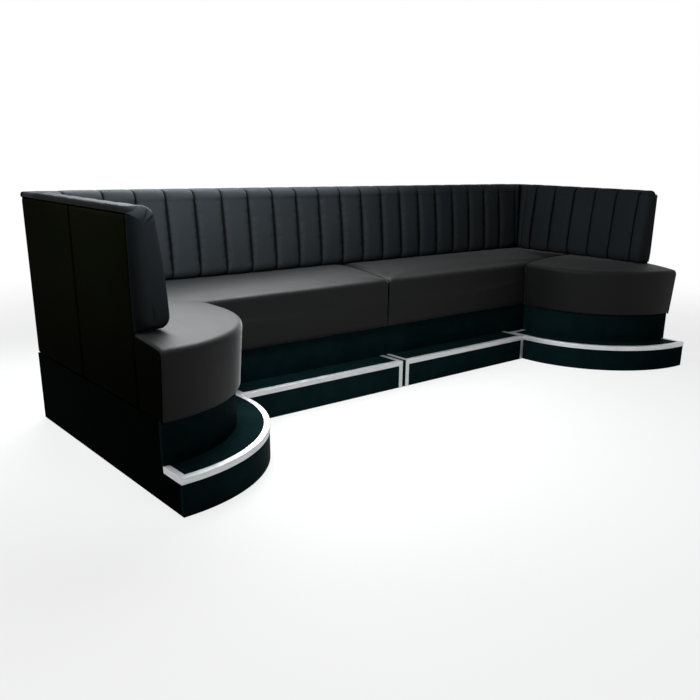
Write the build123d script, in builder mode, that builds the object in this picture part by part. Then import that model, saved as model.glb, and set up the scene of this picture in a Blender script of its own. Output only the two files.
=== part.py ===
from build123d import *
import os
from math import cos, radians, sin

# A U-shaped banquette on a low step: a straight run of seating along the wall, with a
# rounded wing in front of each end. It is built as four modules, two halves of the run
# and two wings, and the right half is the mirror image of the left half.
# X runs along the wall, Y towards the wall and Z up. The origin lies on the floor, in
# the middle of the space that the whole piece covers. Sizes are in millimetres.

# Overall sizes
overall_width = 3590
overall_depth = 1456
overall_height = 1100
floor_gap = 3

# How the modules divide, measured from the wall
module_depth = 580
module_gap = 1
centre_gap = 8
arc_centre = 746

# The step
step_height = 160
step_front = 708
step_radius = 708
tread_thickness = 18
fascia_thickness = 18
trim_leg = 30
trim_thickness = 2
trim_outer = trim_thickness + trim_leg

# The toe kick, and how far it stands back from the front of the step
run_foot_room = 168
wing_foot_room = 143
kick_thickness = 18

# The seat
leather_bottom = 335
run_overhang_top = 39
run_overhang_bottom = 26
wing_overhang_top = 41
wing_overhang_bottom = 21
seat_crown = 642
crown_line = 190
run_crown_radius = 2180
wing_crown_radius = 2800
seat_edge_round = 26
seat_end_round = 16
seat_end_bevel = 10
deck_top = 540
deck_thickness = 18
foam_top = 598
cover_flange = 14
side_padding = 18

# The back
back_bottom = 645
heel_height = 692
shoulder_drop = 58
pad_heel = 148
pad_shoulder = 113
pad_top_flat = 60
pad_tuck = 104
pad_edge_bevel = 10
pad_bulge = 5
groove_depth = 11
lap = 25
run_channel_pitch = 160.6
run_channels = 10
wing_channel_pitch = 164
wing_channels = 3
wing_pad_end = 1158
end_round = 26

# Boards, posts and panels
panel_thickness = 12
rear_panel_thickness = 4
side_panel_front = 1130
post_width = 45
board = 18
frame_front = 55
rail_height = 90
rib_hole_share = 0.42

# Fittings
bolt_radius = 4
bolt_head_radius = 8
bolt_head = 5
nut_radius = 7
nut_height = 6.5
bolt_low = 80
bolt_drop = 175

# Clearances
fit = 0.3
hole_clearance = 0.5
thread_gap = 0.1
overrun = 5

half_width = overall_width / 2
rear_y = overall_depth / 2
side_face = trim_thickness
shoulder_height = overall_height - shoulder_drop
lap_height = overall_height - lap
bolt_high = lap_height - bolt_drop
kick_front = step_front - run_foot_room
kick_radius = step_radius - wing_foot_room
seat_front_top = kick_front + run_overhang_top
seat_front_bottom = kick_front + run_overhang_bottom
seat_radius_top = kick_radius + wing_overhang_top
seat_radius_bottom = kick_radius + wing_overhang_bottom
tread_top = step_height - trim_thickness
tread_under = tread_top - tread_thickness
deck_under = deck_top - deck_thickness
run_end = half_width - module_gap / 2
step_end = half_width - centre_gap / 2
run_joint = module_depth - module_gap / 2
wing_joint = module_depth + module_gap / 2
wing_step_rear = wing_joint + trim_thickness
strip_start = step_radius + module_gap + 2 * trim_thickness
seat_rear = frame_front + fit
bore_length = 3 * post_width
LOW = (Align.MIN, Align.MIN, Align.MIN)


def across(reach):
    """X of a place, measured in from the outer side."""
    return reach - half_width


def out(reach):
    """Y of a place, measured out from the wall."""
    return rear_y - reach


def block(side, front, up, mode=Mode.ADD):
    """A block between two places across, two places out from the wall and two heights."""
    with Locations((across(side[0]), out(front[1]), up[0])):
        Box(side[1] - side[0], front[1] - front[0], up[1] - up[0], align=LOW, mode=mode)


def lift(up, sketch, mode=Mode.ADD):
    """A flat outline raised from one height to the next."""
    extrude(sketch, amount=up[1] - up[0], mode=mode)


def quarter(height, radius, inner=side_face, rear=wing_joint, hollow=0):
    """Plan of a wing: a straight stretch, then a quarter circle round to the outer side."""
    with BuildSketch(Plane.XY.offset(height)) as plan:
        with Locations((across(0), out(arc_centre))):
            Circle(radius)
        with Locations((across(0), out(arc_centre))):
            Rectangle(radius, arc_centre - rear, align=(Align.MIN, Align.MIN))
        if hollow:
            with Locations((across(0), out(arc_centre))):
                Circle(hollow, mode=Mode.SUBTRACT)
            with Locations((across(0), out(arc_centre))):
                Rectangle(hollow, arc_centre - rear, align=(Align.MIN, Align.MIN), mode=Mode.SUBTRACT)
        with Locations((across(inner), out(arc_centre + radius))):
            Rectangle(
                radius - inner,
                arc_centre + radius - rear,
                align=(Align.MIN, Align.MIN),
                mode=Mode.INTERSECT,
            )
    return plan.sketch


def keep(piece, name):
    """Writes a piece of the left half, and its mirror image in the right half."""
    piece.part.label = name + "_left"
    export_step(piece.part, "parts/" + name + "_left.step")
    with BuildPart() as twin:
        mirror(piece.part, about=Plane.YZ)
    twin.part.label = name + "_right"
    export_step(twin.part, "parts/" + name + "_right.step")


os.makedirs("parts", exist_ok=True)

# Where the fittings go
run_ribs = 5
first_rib = side_face + panel_thickness + fit
rib_pitch = (run_end - board - first_rib) / (run_ribs - 1)
rib_places = [first_rib + rib_pitch * i for i in range(run_ribs)]
base_rear = rear_panel_thickness + fit
front_rail = step_front - fascia_thickness - fit
rib_radius = step_radius - fascia_thickness - fit
glide_rears = (base_rear + board / 2, run_joint - board / 2)
run_glides = [(rib + board / 2, reach) for rib in rib_places for reach in glide_rears]
run_glides += [(rib + board / 2, front_rail - board / 2) for rib in rib_places[2:]]
wing_ribs = 3
rib_angles = [90 * (i + 1) / (wing_ribs + 1) for i in range(wing_ribs)]
bend_middle = rib_radius - board / 2
wing_glides = [
    (bend_middle * sin(radians(angle)), arc_centre + bend_middle * cos(radians(angle)))
    for angle in rib_angles
]
side_glide_share = 0.6
side_glides = (wing_step_rear + board / 2, arc_centre + bend_middle * side_glide_share)
wing_glides += [(first_rib + board / 2, reach) for reach in side_glides]
wing_glides += [(bend_middle, wing_step_rear + board / 2)]
low_bolt_side = step_radius / 2
centre_bolt_reach = module_depth / 2
post_middle = (panel_thickness + frame_front) / 2


def bolt_plane(side, reach, height, axis):
    """A plane through the middle of a bolt's grip. The bolt runs along its normal, X or Y."""
    normal = (1, 0, 0) if axis == "X" else (0, 1, 0)
    return Plane(origin=(across(side), out(reach), height), z_dir=normal)


def bore(plane):
    """A clearance hole for a bolt that joins two modules."""
    with BuildSketch(plane) as hole:
        Circle(bolt_radius + hole_clearance)
    extrude(hole.sketch, amount=bore_length / 2, both=True, mode=Mode.SUBTRACT)


low_joint = bolt_plane(low_bolt_side, (run_joint + wing_step_rear) / 2, bolt_low, "Y")
high_joint = bolt_plane(post_middle, module_depth, bolt_high, "Y")
low_centre = bolt_plane(half_width, centre_bolt_reach, bolt_low, "X")
high_centre = bolt_plane(half_width, (base_rear + frame_front) / 2, bolt_high, "X")


# Base frames: ladders of plywood ribs and rails under the treads
base_up = (floor_gap, tread_under)
base_sides = (rib_places[0], run_end)
with BuildPart() as run_base_frame:
    for place in rib_places:
        reach = front_rail if place > strip_start else run_joint
        block((place, place + board), (base_rear, reach), base_up)
    block(base_sides, (base_rear, base_rear + board), base_up)
    block(base_sides, (run_joint - board, run_joint), base_up)
    block((strip_start, run_end), (front_rail - board, front_rail), base_up)
    block((strip_start, strip_start + board), (run_joint - board, front_rail), base_up)
    block((step_end, half_width), (run_joint, step_front), base_up, Mode.SUBTRACT)
    bore(low_joint)
    bore(low_centre)
keep(run_base_frame, "run_base_frame")

bend_inner = rib_radius - board
with BuildPart() as wing_base_frame:
    lift(base_up, quarter(floor_gap, rib_radius, first_rib, wing_step_rear, bend_inner))
    block((first_rib, first_rib + board), (wing_step_rear, arc_centre + bend_inner), base_up)
    block((first_rib, bend_middle), (wing_step_rear, wing_step_rear + board), base_up)
    for angle in rib_angles:
        with BuildSketch(Plane.XY.offset(floor_gap)) as rib:
            with Locations(Location((across(0), out(arc_centre)), angle - 90)):
                Rectangle(bend_middle, board, align=(Align.MIN, Align.CENTER))
        lift(base_up, rib.sketch)
    block((-board, first_rib), (wing_step_rear, overall_depth), base_up, Mode.SUBTRACT)
    bore(low_joint)
keep(wing_base_frame, "wing_base_frame")

# Fascias: black laminate fronts of the step, bent round on the wings
with BuildPart() as run_fascia:
    block((strip_start, step_end), (step_front - fascia_thickness, step_front), base_up)
keep(run_fascia, "run_fascia")

with BuildPart() as wing_fascia:
    face_inner = step_radius - fascia_thickness
    lift(base_up, quarter(floor_gap, step_radius, side_face, wing_step_rear, face_inner))
keep(wing_fascia, "wing_fascia")

# Treads: the laminate boards that the feet rest on
tread_up = (tread_under, tread_top)
with BuildPart() as run_tread:
    block((first_rib, step_end), (base_rear, run_joint), tread_up)
    block((strip_start, step_end), (run_joint, step_front), tread_up)
keep(run_tread, "run_tread")

with BuildPart() as wing_tread:
    lift(tread_up, quarter(tread_under, step_radius, first_rib, wing_step_rear))
keep(wing_tread, "wing_tread")

# Base sides: laminate boards on the outer sides, cut down in front to the height of the step
panel_sides = (side_face, side_face + panel_thickness)
with BuildPart() as run_base_side:
    block(panel_sides, (0, run_joint), (floor_gap, leather_bottom - fit))
keep(run_base_side, "run_base_side")

with BuildPart() as wing_base_side:
    side_end = arc_centre + rib_radius - fit
    kick_end = arc_centre + kick_radius - kick_thickness - fit
    block(panel_sides, (wing_joint, side_end), (floor_gap, tread_top))
    block(panel_sides, (wing_joint, kick_end), (tread_top, leather_bottom - fit))
keep(wing_base_side, "wing_base_side")

# Front trims: aluminium angles along the front edges of the treads
leg_bottom = step_height - trim_outer
leg_up = (leg_bottom, step_height)
top_up = (tread_top, step_height)
trim_ends = (strip_start - trim_thickness, step_end + trim_thickness)
run_trim_out = step_front + trim_thickness
run_trim_in = step_front - trim_leg
with BuildPart() as run_front_trim:
    block(trim_ends, (run_trim_in, run_trim_out), top_up)
    block(trim_ends, (step_front, run_trim_out), leg_up)
keep(run_front_trim, "run_front_trim")

wing_trim_out = step_radius + trim_thickness
wing_trim_in = step_radius - trim_leg
with BuildPart() as wing_front_trim:
    lift(top_up, quarter(tread_top, wing_trim_out, 0, wing_joint, wing_trim_in))
    lift(leg_up, quarter(leg_bottom, wing_trim_out, 0, wing_joint, step_radius))
keep(wing_front_trim, "wing_front_trim")

# End trims: aluminium angles along the ends of the treads, and down the corners of the run
post_up = (floor_gap, leg_bottom)
return_out = (kick_front, run_trim_in - fit)
with BuildPart() as run_end_trims:
    for face, inward in ((strip_start, 1), (step_end, -1)):
        upright = sorted((face - inward * trim_thickness, face))
        flat = sorted((face - inward * trim_thickness, face + inward * trim_leg))
        block(flat, return_out, top_up)
        block(upright, (run_joint + fit, run_trim_in - fit), leg_up)
        block(flat, (step_front, run_trim_out), post_up)
        block(upright, (run_trim_in, run_trim_out), post_up)

with BuildPart() as wing_end_trims:
    block((kick_radius, wing_trim_in - fit), (wing_joint, wing_joint + trim_outer), top_up)
    block((kick_radius, wing_trim_in - fit), (wing_joint, wing_step_rear), leg_up)
    block((0, trim_outer), (arc_centre + kick_radius, arc_centre + step_radius), top_up)
    block((0, trim_thickness), (arc_centre + kick_radius, arc_centre + step_radius), leg_up)
    with BuildSketch(Plane.XY.offset(leg_bottom)) as inside:
        with Locations((across(0), out(arc_centre))):
            Circle(wing_trim_in - fit)
    extrude(inside.sketch, amount=trim_outer, mode=Mode.INTERSECT)

with BuildPart() as end_trims:
    add(run_end_trims.part)
    add(wing_end_trims.part)
keep(end_trims, "end_trims")

# Toe kicks: laminate boards between the treads and the leather
kick_up = (tread_top, leather_bottom - fit)
with BuildPart() as run_toe_kick:
    block((seat_rear, run_end), (kick_front - kick_thickness, kick_front), kick_up)
keep(run_toe_kick, "run_toe_kick")

kick_inner = kick_radius - kick_thickness
with BuildPart() as wing_toe_kick:
    lift(kick_up, quarter(tread_top, kick_radius, side_face, wing_joint, kick_inner))
keep(wing_toe_kick, "wing_toe_kick")

# Seat frames: plywood carcasses that stand on the treads behind the toe kicks
frame_up = (tread_top, deck_under)
leather_up = (leather_bottom, deck_under)
carcass_front = kick_front - kick_thickness - fit
rib_hole_height = (deck_under - tread_top) * rib_hole_share
rib_hole_depth = (carcass_front - seat_rear) * rib_hole_share
carcass_pitch = (run_end - board - seat_rear) / (run_ribs - 1)
with BuildPart() as run_seat_frame:
    for i in range(run_ribs):
        place = seat_rear + carcass_pitch * i
        block((place, place + board), (seat_rear, carcass_front), frame_up)
    with BuildSketch(Plane.YZ.offset(across(0))) as lightening:
        with Locations((out((seat_rear + carcass_front) / 2), (tread_top + deck_under) / 2)):
            Rectangle(rib_hole_depth, rib_hole_height)
    extrude(lightening.sketch, amount=run_end - board, mode=Mode.SUBTRACT)
    for front in (seat_rear + board, carcass_front):
        block((seat_rear, run_end), (front - board, front), (deck_under - rail_height, deck_under))
        block((seat_rear, run_end), (front - board, front), (tread_top, tread_top + rail_height))
    block((seat_rear, run_end), (carcass_front, kick_front), leather_up)
keep(run_seat_frame, "run_seat_frame")

cover_inner = side_face + side_padding + fit
front_inner = kick_inner - fit
with BuildPart() as wing_seat_frame:
    lift(leather_up, quarter(leather_bottom, kick_radius, cover_inner, wing_joint, front_inner))
    block((seat_rear, front_inner), (wing_joint, wing_joint + board), frame_up)
    for angle in rib_angles:
        with BuildSketch(Plane.XY.offset(tread_top)) as rib:
            with Locations(Location((across(0), out(arc_centre)), angle - 90)):
                Rectangle(front_inner, board, align=(Align.MIN, Align.CENTER))
        lift(frame_up, rib.sketch)
    block((-front_inner, seat_rear), (0, side_panel_front + fit), frame_up, Mode.SUBTRACT)
    block((-front_inner, cover_inner), (0, overall_depth), frame_up, Mode.SUBTRACT)
    block((seat_rear, seat_rear + board), (wing_joint, arc_centre + front_inner - board), frame_up)
keep(wing_seat_frame, "wing_seat_frame")

# Seat decks: plywood boards on the seat frames
deck_up = (deck_under, deck_top)
with BuildPart() as run_seat_deck:
    block((seat_rear, run_end), (seat_rear, kick_front), deck_up)
keep(run_seat_deck, "run_seat_deck")

with BuildPart() as wing_seat_deck:
    lift(deck_up, quarter(deck_under, kick_radius, cover_inner, wing_joint))
    block((-board, seat_rear), (0, side_panel_front + fit), deck_up, Mode.SUBTRACT)
keep(wing_seat_deck, "wing_seat_deck")

# Seat foam: blocks on the decks, cut to the plan of the seats
foam_up = (deck_top + fit, foam_top)
foam_rear = seat_rear + cover_flange
with BuildPart() as run_seat_foam:
    block((foam_rear, run_end - cover_flange), (foam_rear, kick_front), foam_up)
keep(run_seat_foam, "run_seat_foam")

wing_foam_rear = wing_joint + cover_flange
with BuildPart() as wing_seat_foam:
    lift(foam_up, quarter(deck_top + fit, kick_radius, cover_inner, wing_foam_rear))
    block((-board, foam_rear), (0, side_panel_front + cover_flange), foam_up, Mode.SUBTRACT)
keep(wing_seat_foam, "wing_seat_foam")


# Seat covers: padded leather, crowned on top and drawn in to the toe kick
def crown_height(reach, crown_radius):
    """Height of a crowned top, at a distance from the back that it leads up to."""
    return seat_crown - (reach - crown_line) ** 2 / (2 * crown_radius)


foam_space = (deck_top, foam_top + fit)
with BuildPart() as run_seat_cover:
    with BuildSketch(Plane.YZ.offset(across(seat_rear))) as profile:
        with BuildLine():
            rear_top = (out(seat_rear), crown_height(seat_rear, run_crown_radius))
            front_top = (out(seat_front_top), crown_height(seat_front_top, run_crown_radius))
            front_bottom = (out(seat_front_bottom), leather_bottom)
            rear_bottom = (out(seat_rear), leather_bottom)
            ThreePointArc(rear_top, (out(crown_line), seat_crown), front_top)
            Polyline(front_top, front_bottom, rear_bottom, rear_top)
        make_face()
    extrude(amount=run_end - seat_rear)
    long_edges = run_seat_cover.edges().filter_by(Axis.X)
    fillet(long_edges.filter_by_position(Axis.Z, foam_top, seat_crown).sort_by(Axis.Y)[0], seat_edge_round)
    end_edges = run_seat_cover.faces().sort_by(Axis.X)[-1].edges()
    end_edges = end_edges.filter_by_position(Axis.Z, leather_bottom + fit, overall_height)
    fillet(end_edges.sort_by(Axis.Y)[:-1], seat_end_round)
    under = (0, kick_front + fit)
    foam_ends = (foam_rear - fit, run_end - cover_flange + fit)
    block((0, run_end + overrun), under, (0, deck_top), Mode.SUBTRACT)
    block(foam_ends, (foam_rear - fit, kick_front + fit), foam_space, Mode.SUBTRACT)
keep(run_seat_cover, "run_seat_cover")

crown_steps = 3
edge_steps = 3
rim_reach = seat_radius_top - seat_edge_round
crown_pitch = (rim_reach - crown_line) / crown_steps
crown_reaches = [crown_line + crown_pitch * i for i in range(crown_steps + 1)]
edge_turns = [radians(90 * (i + 1) / edge_steps) for i in range(edge_steps)]


def side_place(reach, height):
    """A point of a section across a wing, looking towards the wall."""
    return (across(reach), height)


def seat_section(reach, draw=0):
    """Section of a wing's seat, at a distance out from the wall. At its end it is drawn in."""
    points = [(place, crown_height(place, wing_crown_radius)) for place in crown_reaches]
    rim_height = points[-1][1]
    for turn in edge_turns:
        drop = seat_edge_round * (1 - cos(turn))
        points.append((rim_reach + seat_edge_round * sin(turn), rim_height - drop))
    with BuildSketch(Plane.XZ.offset(-out(reach))) as section:
        with BuildLine():
            top = [side_place(place - draw, height - draw) for place, height in points]
            rear = side_place(side_face, seat_crown - draw)
            front_bottom = side_place(seat_radius_bottom - draw, leather_bottom)
            Polyline(rear, *top, front_bottom, side_place(side_face, leather_bottom), close=True)
        make_face()
    return section.sketch


cover_joint = wing_joint + module_gap
end_shares = [(0, 1), (0.3, 0.3), (1, 0)]
with BuildPart() as wing_foam_space:
    lift(foam_space, quarter(deck_top, kick_radius + fit, cover_inner - fit, wing_foam_rear - fit))
    pad_front = side_panel_front + cover_flange - fit
    block((-board, foam_rear - fit), (0, pad_front), foam_space, Mode.SUBTRACT)
with BuildPart() as wing_seat_cover:
    sections = [
        seat_section(cover_joint + seat_end_round * along, seat_end_round * drawn).face()
        for along, drawn in end_shares
    ]
    straight_end = seat_section(arc_centre)
    loft(sections + [straight_end.face()], ruled=True)
    turn_axis = Axis((across(side_face), out(arc_centre), 0), (0, 0, -1))
    revolve(straight_end, axis=turn_axis, revolution_arc=90)
    end_edges = wing_seat_cover.faces().filter_by(Axis.X).sort_by(Axis.X)[0].edges()
    end_edges = end_edges.filter_by_position(Axis.Y, -overall_depth, out(arc_centre))
    chamfer(end_edges.filter_by_position(Axis.Z, deck_top, overall_height), seat_end_bevel)
    block((-board, seat_rear + fit), (0, side_panel_front + fit), (0, overall_height), Mode.SUBTRACT)
    under_plan = quarter(leather_bottom, kick_radius + fit, cover_inner - fit, 0)
    lift((leather_bottom, deck_top), under_plan, Mode.SUBTRACT)
    add(wing_foam_space.part, mode=Mode.SUBTRACT)
keep(wing_seat_cover, "wing_seat_cover")

# Back frames: timber posts and rails behind the pads, standing on the treads
post_up = (tread_top, lap_height - fit)
rear_posts = (base_rear, frame_front)
side_posts = (first_rib, frame_front)
run_posts = 5
post_pitch = (run_end - post_width - frame_front) / (run_posts - 1)
rail_heights = (tread_top, deck_top, lap_height - fit - post_width)
with BuildPart() as run_back_frame:
    for i in range(run_posts):
        place = frame_front + post_pitch * i
        block((place, place + post_width), rear_posts, post_up)
    for height in rail_heights:
        block((first_rib, run_end), rear_posts, (height, height + post_width))
        block(side_posts, (base_rear, run_joint), (height, height + post_width))
    block(side_posts, (base_rear, frame_front), post_up)
    block(side_posts, (run_joint - post_width, run_joint), post_up)
    bore(high_centre)
    bore(high_joint)
keep(run_back_frame, "run_back_frame")

wing_posts = 3
wing_post_pitch = (side_panel_front - post_width - wing_joint) / (wing_posts - 1)
with BuildPart() as wing_back_frame:
    for i in range(wing_posts):
        place = wing_joint + wing_post_pitch * i
        block(side_posts, (place, place + post_width), post_up)
    for height in rail_heights:
        block(side_posts, (wing_joint, side_panel_front), (height, height + post_width))
    bore(high_joint)
keep(wing_back_frame, "wing_back_frame")

# Rear panels of the run, and leather covered panels on the outer sides of the backs
with BuildPart() as run_rear_panel:
    block((first_rib, run_end), (0, rear_panel_thickness), (tread_top, lap_height - fit))
keep(run_rear_panel, "run_rear_panel")

panel_up = (leather_bottom, lap_height - fit)
with BuildPart() as run_side_panel:
    block(panel_sides, (0, run_joint), panel_up)
keep(run_side_panel, "run_side_panel")

with BuildPart() as wing_side_panel:
    block(panel_sides, (wing_joint, side_panel_front), panel_up)
keep(wing_side_panel, "wing_side_panel")


# Back pads: leather sewn into upright channels over foam, rolled over the top rail
def pad_section(plane, place, outer, draw=0, lapped=True):
    """Section through a pad. At a seam or an end the leather is drawn in from its crown."""
    top = overall_height - draw / 2
    with BuildSketch(plane) as section:
        with BuildLine():
            edge = place(outer, top - pad_edge_bevel)
            roof_start = place(outer + pad_edge_bevel, top)
            roof_end = place(pad_top_flat - draw, top)
            shoulder = place(pad_shoulder - draw, shoulder_height - draw / 2)
            heel = place(pad_heel - draw, heel_height)
            tuck = place(pad_tuck - draw, back_bottom)
            lean = (pad_heel - pad_shoulder) / (heel_height - shoulder_height)
            belly_height = (heel_height + shoulder_height) / 2
            belly = place((pad_heel + pad_shoulder) / 2 - draw + pad_bulge, belly_height)
            Polyline(edge, roof_start, roof_end)
            side_turn = place(pad_top_flat, 0)[0] - place(0, 0)[0]
            TangentArc(roof_end, shoulder, tangent=(side_turn, 0))
            ThreePointArc(shoulder, belly, heel)
            TangentArc(heel, tuck, tangent=(side_turn * lean, -abs(side_turn)))
            if lapped:
                inner = place(seat_rear, back_bottom)
                Polyline(tuck, inner, place(seat_rear, lap_height), place(outer, lap_height), edge)
            else:
                Polyline(tuck, place(outer, back_bottom), edge)
        make_face()
    return section.sketch.face()


def rear_place(reach, height):
    """A point of a section across the run, looking along the wall."""
    return (out(reach), height)


def rear_section(side, draw=0):
    """Section of the run's pad, at a distance in from the outer side."""
    return pad_section(Plane.YZ.offset(across(side)), rear_place, 0, draw)


def side_section(reach, draw=0, lapped=True):
    """Section of a side pad, at a distance out from the wall."""
    return pad_section(Plane.XZ.offset(-out(reach)), side_place, side_face, draw, lapped)


def channels(section, seams):
    """Lofts one channel after another, each with its leather drawn in at its two seams."""
    for start, end in zip(seams, seams[1:]):
        rise = (end - start) * rise_share
        crowns = [section(start + rise), section(end - rise)]
        loft([section(start, groove_depth), *crowns, section(end, groove_depth)], ruled=True)


def mitre(clearance, *corners):
    """Cuts a pad off at the upright plane through the inside corner of the back."""
    with BuildSketch(Plane.XY) as beyond:
        with BuildLine():
            inside = (across(half_width + clearance), out(half_width))
            Polyline((across(clearance), out(0)), inside, *corners, close=True)
        make_face()
    extrude(beyond.sketch, amount=overall_height + overrun, mode=Mode.SUBTRACT)


rise_share = 0.2
corner_seam = pad_heel + board
rear_seams = [run_end - run_channel_pitch * i for i in range(run_channels)] + [corner_seam]
side_seams = [run_joint - wing_channel_pitch * i for i in range(wing_channels)] + [corner_seam]
wing_seams = [wing_joint + wing_channel_pitch * i for i in range(wing_channels + 1)]
with BuildPart() as run_back_pad:
    channels(rear_section, rear_seams)
    extrude(rear_section(corner_seam, groove_depth), amount=-corner_seam)
    mitre(fit / 2, (across(-overrun), out(half_width)), (across(-overrun), out(0)))
keep(run_back_pad, "run_back_pad")

with BuildPart() as run_side_pad:
    channels(side_section, side_seams)
    extrude(side_section(corner_seam, groove_depth), amount=-corner_seam)
    mitre(-fit / 2, (across(half_width), out(0)))
keep(run_side_pad, "run_side_pad")

end_wrap = side_panel_front + fit
with BuildPart() as wing_back_pad:
    channels(side_section, wing_seams)
    last_seam = wing_seams[-1]
    sections = [side_section(last_seam, groove_depth)]
    sections.append(side_section(last_seam + wing_channel_pitch * rise_share))
    for turn in [0] + edge_turns:
        reach = wing_pad_end - end_round * (1 - sin(turn))
        sections.append(side_section(reach, end_round * (1 - cos(turn))))
    loft(sections, ruled=True)
    with BuildSketch(Plane.XZ.offset(-out(end_wrap))) as end_fill:
        with Locations(side_place(side_face, back_bottom)):
            fill_height = overall_height - end_round - back_bottom
            Rectangle(seat_rear - side_face, fill_height, align=(Align.MIN, Align.MIN))
    extrude(end_fill.sketch, amount=wing_pad_end - end_wrap)
keep(wing_back_pad, "wing_back_pad")

# Glide pads: squares of hard plastic under the boards of the base frames
with BuildPart() as glide_pads:
    with Locations(*[(across(side), out(reach), 0) for side, reach in run_glides + wing_glides]):
        Box(board, board, floor_gap, align=(Align.CENTER, Align.CENTER, Align.MIN))
    mirror(about=Plane.YZ)
glide_pads.part.label = "glide_pads"
export_step(glide_pads.part, "parts/glide_pads.step")


# Module bolts: each with its nut, through the frames of two neighbouring modules
def bolt(plane, grip):
    """A bolt along a plane's normal, with its grip centred on the plane, and its nut."""
    with BuildSketch(plane.offset(-grip / 2)) as head:
        RegularPolygon(bolt_head_radius, 6)
    extrude(head.sketch, amount=-bolt_head)
    with BuildSketch(plane.offset(-grip / 2)) as shank:
        Circle(bolt_radius)
    extrude(shank.sketch, amount=grip + nut_height + bolt_head)
    with BuildSketch(plane.offset(grip / 2)) as nut:
        RegularPolygon(nut_radius, 6)
        Circle(bolt_radius + thread_gap, mode=Mode.SUBTRACT)
    extrude(nut.sketch, amount=nut_height)


with BuildPart() as module_bolts:
    bolt(low_joint, 2 * board + wing_step_rear - run_joint)
    bolt(high_joint, 2 * post_width + module_gap)
    mirror(about=Plane.YZ)
    bolt(low_centre, 2 * board + module_gap)
    bolt(high_centre, 2 * post_width + module_gap)
module_bolts.part.label = "module_bolts"
export_step(module_bolts.part, "parts/module_bolts.step")
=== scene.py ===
import math

import bmesh
import bpy
import numpy as np
from mathutils import Matrix, Vector, noise


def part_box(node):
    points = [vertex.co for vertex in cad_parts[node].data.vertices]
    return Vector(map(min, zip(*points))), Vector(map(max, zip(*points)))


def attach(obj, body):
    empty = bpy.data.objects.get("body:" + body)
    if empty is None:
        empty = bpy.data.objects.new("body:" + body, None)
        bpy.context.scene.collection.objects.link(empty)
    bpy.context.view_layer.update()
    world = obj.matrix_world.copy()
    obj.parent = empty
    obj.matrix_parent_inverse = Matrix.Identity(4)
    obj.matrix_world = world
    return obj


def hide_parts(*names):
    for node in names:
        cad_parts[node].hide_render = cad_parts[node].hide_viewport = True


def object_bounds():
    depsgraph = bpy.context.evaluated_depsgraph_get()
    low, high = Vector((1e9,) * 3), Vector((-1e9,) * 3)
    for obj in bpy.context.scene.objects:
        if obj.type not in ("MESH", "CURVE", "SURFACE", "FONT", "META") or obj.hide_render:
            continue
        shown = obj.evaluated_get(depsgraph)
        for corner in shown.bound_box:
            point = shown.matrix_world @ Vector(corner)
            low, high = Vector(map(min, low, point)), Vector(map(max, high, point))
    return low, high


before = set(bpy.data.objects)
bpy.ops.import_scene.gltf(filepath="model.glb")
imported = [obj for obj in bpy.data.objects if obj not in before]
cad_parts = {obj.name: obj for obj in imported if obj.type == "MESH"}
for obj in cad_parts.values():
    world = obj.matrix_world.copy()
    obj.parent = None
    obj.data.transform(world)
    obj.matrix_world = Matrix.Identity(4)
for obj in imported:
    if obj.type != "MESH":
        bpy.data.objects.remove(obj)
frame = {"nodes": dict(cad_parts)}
cad_low, cad_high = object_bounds()
nodes = frame["nodes"]


# Base frames
# Ladders of birch plywood under the treads, sawn to size and screwed together. They are
# left bare: pale face veneers with brown streaks, and dark lines where the plies show.


class Value:
    """A socket of a node. Python's operators on it add Math nodes."""

    def __init__(self, nodes, socket):
        self.nodes, self.socket = nodes, socket

    def maths(self, operation, first, second=0.0):
        return self.nodes.node("ShaderNodeMath", {"operation": operation}, {0: first, 1: second})

    def __add__(self, other):
        return self.maths("ADD", self, other)

    def __radd__(self, other):
        return self.maths("ADD", other, self)

    def __sub__(self, other):
        return self.maths("SUBTRACT", self, other)

    def __rsub__(self, other):
        return self.maths("SUBTRACT", other, self)

    def __mul__(self, other):
        return self.maths("MULTIPLY", self, other)

    def __rmul__(self, other):
        return self.maths("MULTIPLY", other, self)

    def wave(self):
        return self.maths("SINE", self)

    def share(self, low, high):
        """0 where the value is low, 1 where it is high, and smooth in between."""
        settings = {"interpolation_type": "SMOOTHSTEP"}
        return self.nodes.node("ShaderNodeMapRange", settings, {0: self, 1: low, 2: high})


class Nodes:
    """A node tree, with the one method that adds nodes to it."""

    def __init__(self, tree):
        self.tree = tree

    def node(self, kind, settings=(), inputs=(), output=0):
        made = self.tree.nodes.new(kind)
        for name, value in dict(settings).items():
            setattr(made, name, value)
        for name, value in dict(inputs).items():
            source = getattr(value, "socket", value)
            if isinstance(source, bpy.types.NodeSocket):
                self.tree.links.new(source, made.inputs[name])
            else:
                made.inputs[name].default_value = value
        return Value(self, made.outputs[output])


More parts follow.
